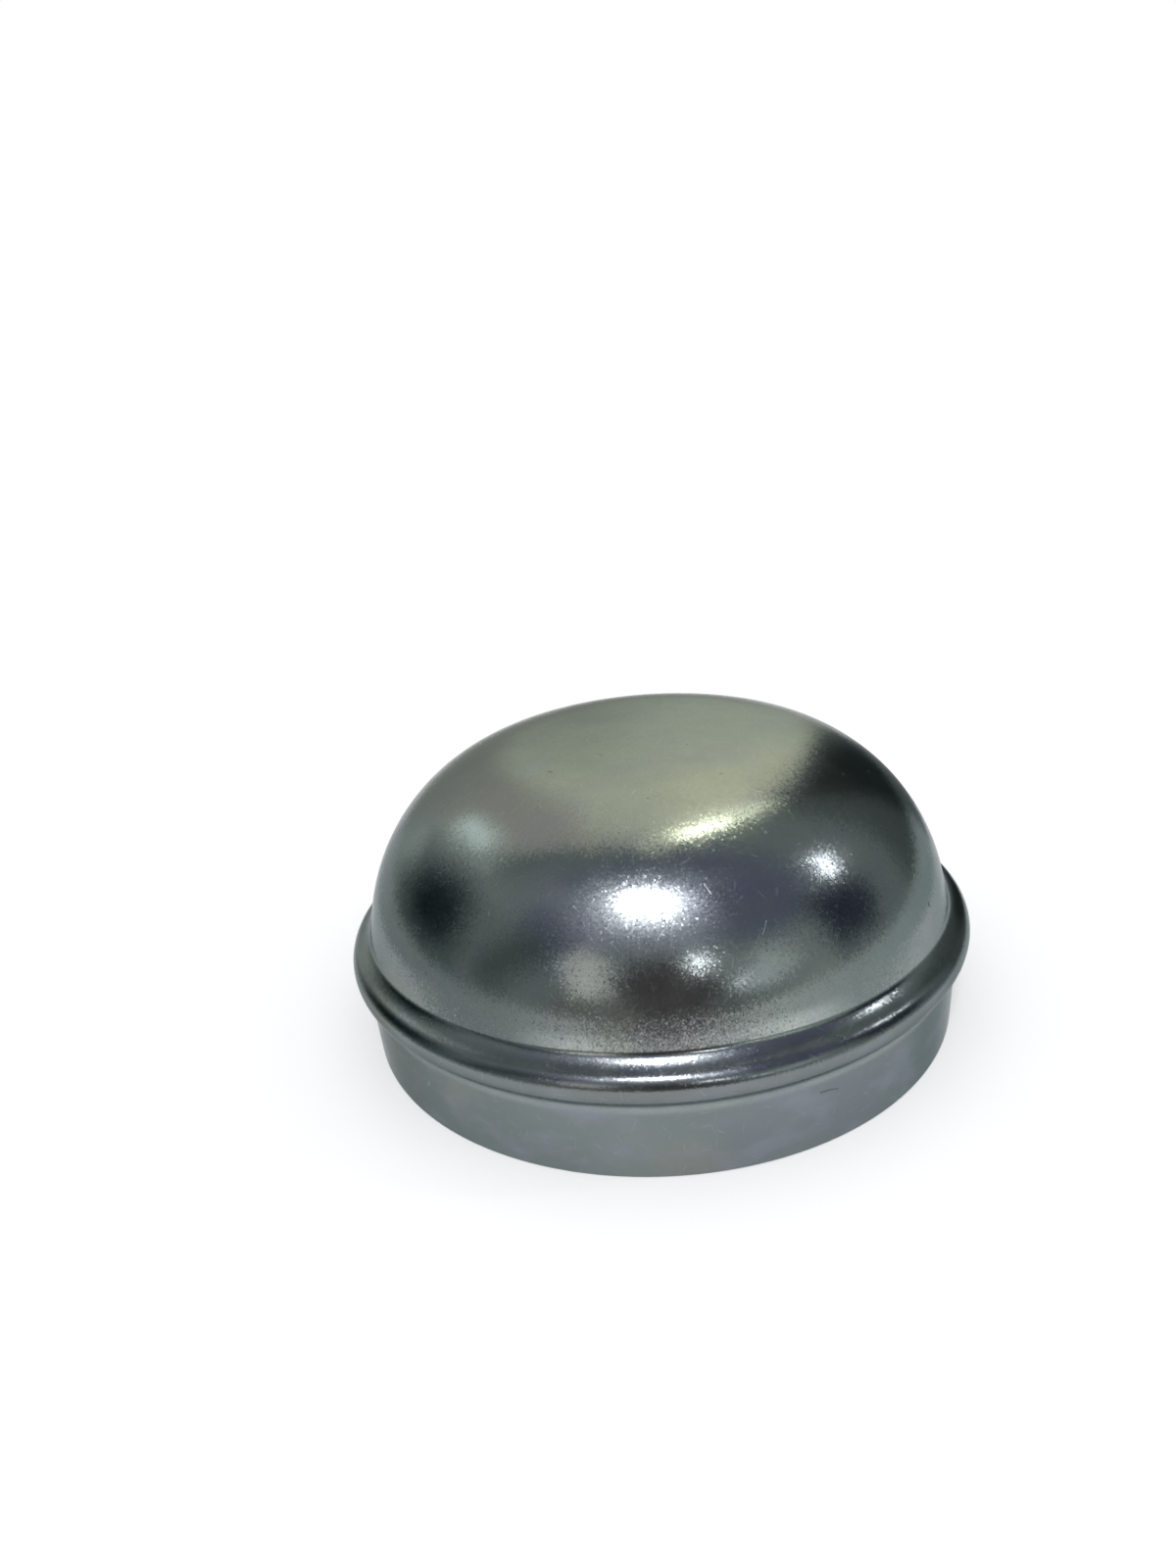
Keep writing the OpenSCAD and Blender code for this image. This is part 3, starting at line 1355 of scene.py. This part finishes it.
@dataclass(frozen=True)
class PhotoCamera:
    """The photograph's camera. Pixels are those of the 1200 x 1600 frame.

    Attributes:
        width: Width of the frame.
        height: Height of the frame.
        focal: Focal length in pixels.
        middle: The pixel that the camera's axis goes through.
        tilt: Tilt below the horizon in degrees.
        roll: Turn about the camera's axis in degrees.
        place: Its place in metres.
        sensor: Width of the sensor in millimetres, which stands for the frame's longer side.
        clip: Nearest and farthest distance that it sees, in metres.
    """

    width: float = 1200.0
    height: float = 1600.0
    focal: float = 971.57
    middle: Point = (600.0, 951.31)
    tilt: float = 29.193
    roll: float = -6.054
    place: Place = (-0.007211, -0.090897, 0.058024)
    sensor: float = 36.0
    clip: Point = (0.001, 50.0)

    def build(self, name: str) -> bpy.types.Object:
        """Makes the camera and gives it to the scene.

        The lens and the shifts are shares of the frame's longer side, its height.

        Args:
            name: The camera's name.

        Returns:
            The camera.
        """
        lens = bpy.data.cameras.new(name)
        lens.sensor_width = self.sensor
        lens.lens = self.focal / self.height * self.sensor
        lens.shift_x = (self.width / 2 - self.middle[0]) / self.height
        lens.shift_y = (self.middle[1] - self.height / 2) / self.height
        lens.clip_start, lens.clip_end = self.clip
        camera = bpy.data.objects.new(name, lens)
        pitch = Matrix.Rotation(math.radians(90.0 - self.tilt), 4, "X")
        camera.matrix_world = (Matrix.Translation(self.place) @ pitch
                               @ Matrix.Rotation(math.radians(self.roll), 4, "Z"))
        bpy.context.scene.collection.objects.link(camera)
        bpy.context.scene.camera = camera
        return camera


@dataclass(frozen=True)
class Floor:
    """A round, plain floor under the cap.

    Attributes:
        radius: Its radius in metres.
        gap: How far it is under the cap's open edge, in metres.
        finish: Its finish.
    """

    STEPS = 96

    radius: float = 0.08
    gap: float = 0.02 * MM
    finish: FloorFinish = FloorFinish()

    def build(self, name: str) -> bpy.types.Object:
        """Makes the floor.

        A ring of points is the radius times the cosine and sine of evenly spaced angles, and a fan
        of triangles joins it to a point on the axis.

        Args:
            name: The object's name.

        Returns:
            The floor.
        """
        turns = np.linspace(0.0, 2.0 * math.pi, self.STEPS, endpoint=False)
        ring = np.stack([np.cos(turns), np.sin(turns), np.zeros_like(turns)], axis=1) * self.radius
        points = np.concatenate([ring, np.zeros((1, 3))]) - [0.0, 0.0, self.gap]
        count = np.arange(self.STEPS)
        faces = np.stack([count, np.roll(count, -1), np.full_like(count, self.STEPS)], axis=1)
        mesh = bpy.data.meshes.new(name)
        mesh.from_pydata(points.tolist(), [], faces.tolist())
        mesh.materials.append(self.finish.build(name))
        floor = bpy.data.objects.new(name, mesh)
        bpy.context.scene.collection.objects.link(floor)
        return floor


class SceneBuilder:
    """Builds the cap and the studio around it."""

    def __init__(self, sizes: CapSizes) -> None:
        """Keeps the cap's sizes."""
        self.sizes = sizes

    def cap(self) -> bpy.types.Object:
        """Makes the visible cap, which stands for the CAD node.

        Returns:
            The cap's shell.
        """
        made = CapShell(self.sizes)
        shell = made.build("cap_shell")
        shell.data.materials.append(ZincFinish().build("zinc_plating", made.section))
        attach(shell, "root")
        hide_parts(NODE)
        log.info("%s: %d faces", shell.name, len(shell.data.polygons))
        return shell

    def studio(self) -> None:
        """Makes the floor, the surroundings, the lamps and the camera."""
        scene = bpy.context.scene
        scene.view_settings.view_transform = "Standard"
        scene.world = Studio().build("studio")
        floor = Floor()
        log.info("%s: radius %.2f m", floor.build("floor").name, floor.radius)
        for lamp in LAMPS:
            made = lamp.build(Vector((0.0, 0.0, self.sizes.height / 2)))
            log.info("%s: %.2f W", made.name, made.data.energy)
        camera = PhotoCamera().build("photo_camera")
        log.info("%s: lens %.2f mm", camera.name, camera.data.lens)


def main() -> None:
    """Builds everything in order."""
    logging.basicConfig(level=logging.INFO, format="%(message)s")
    builder = SceneBuilder(CapSizes.from_frame(NODE))
    builder.cap()
    builder.studio()


if __name__ == "__main__":
    main()
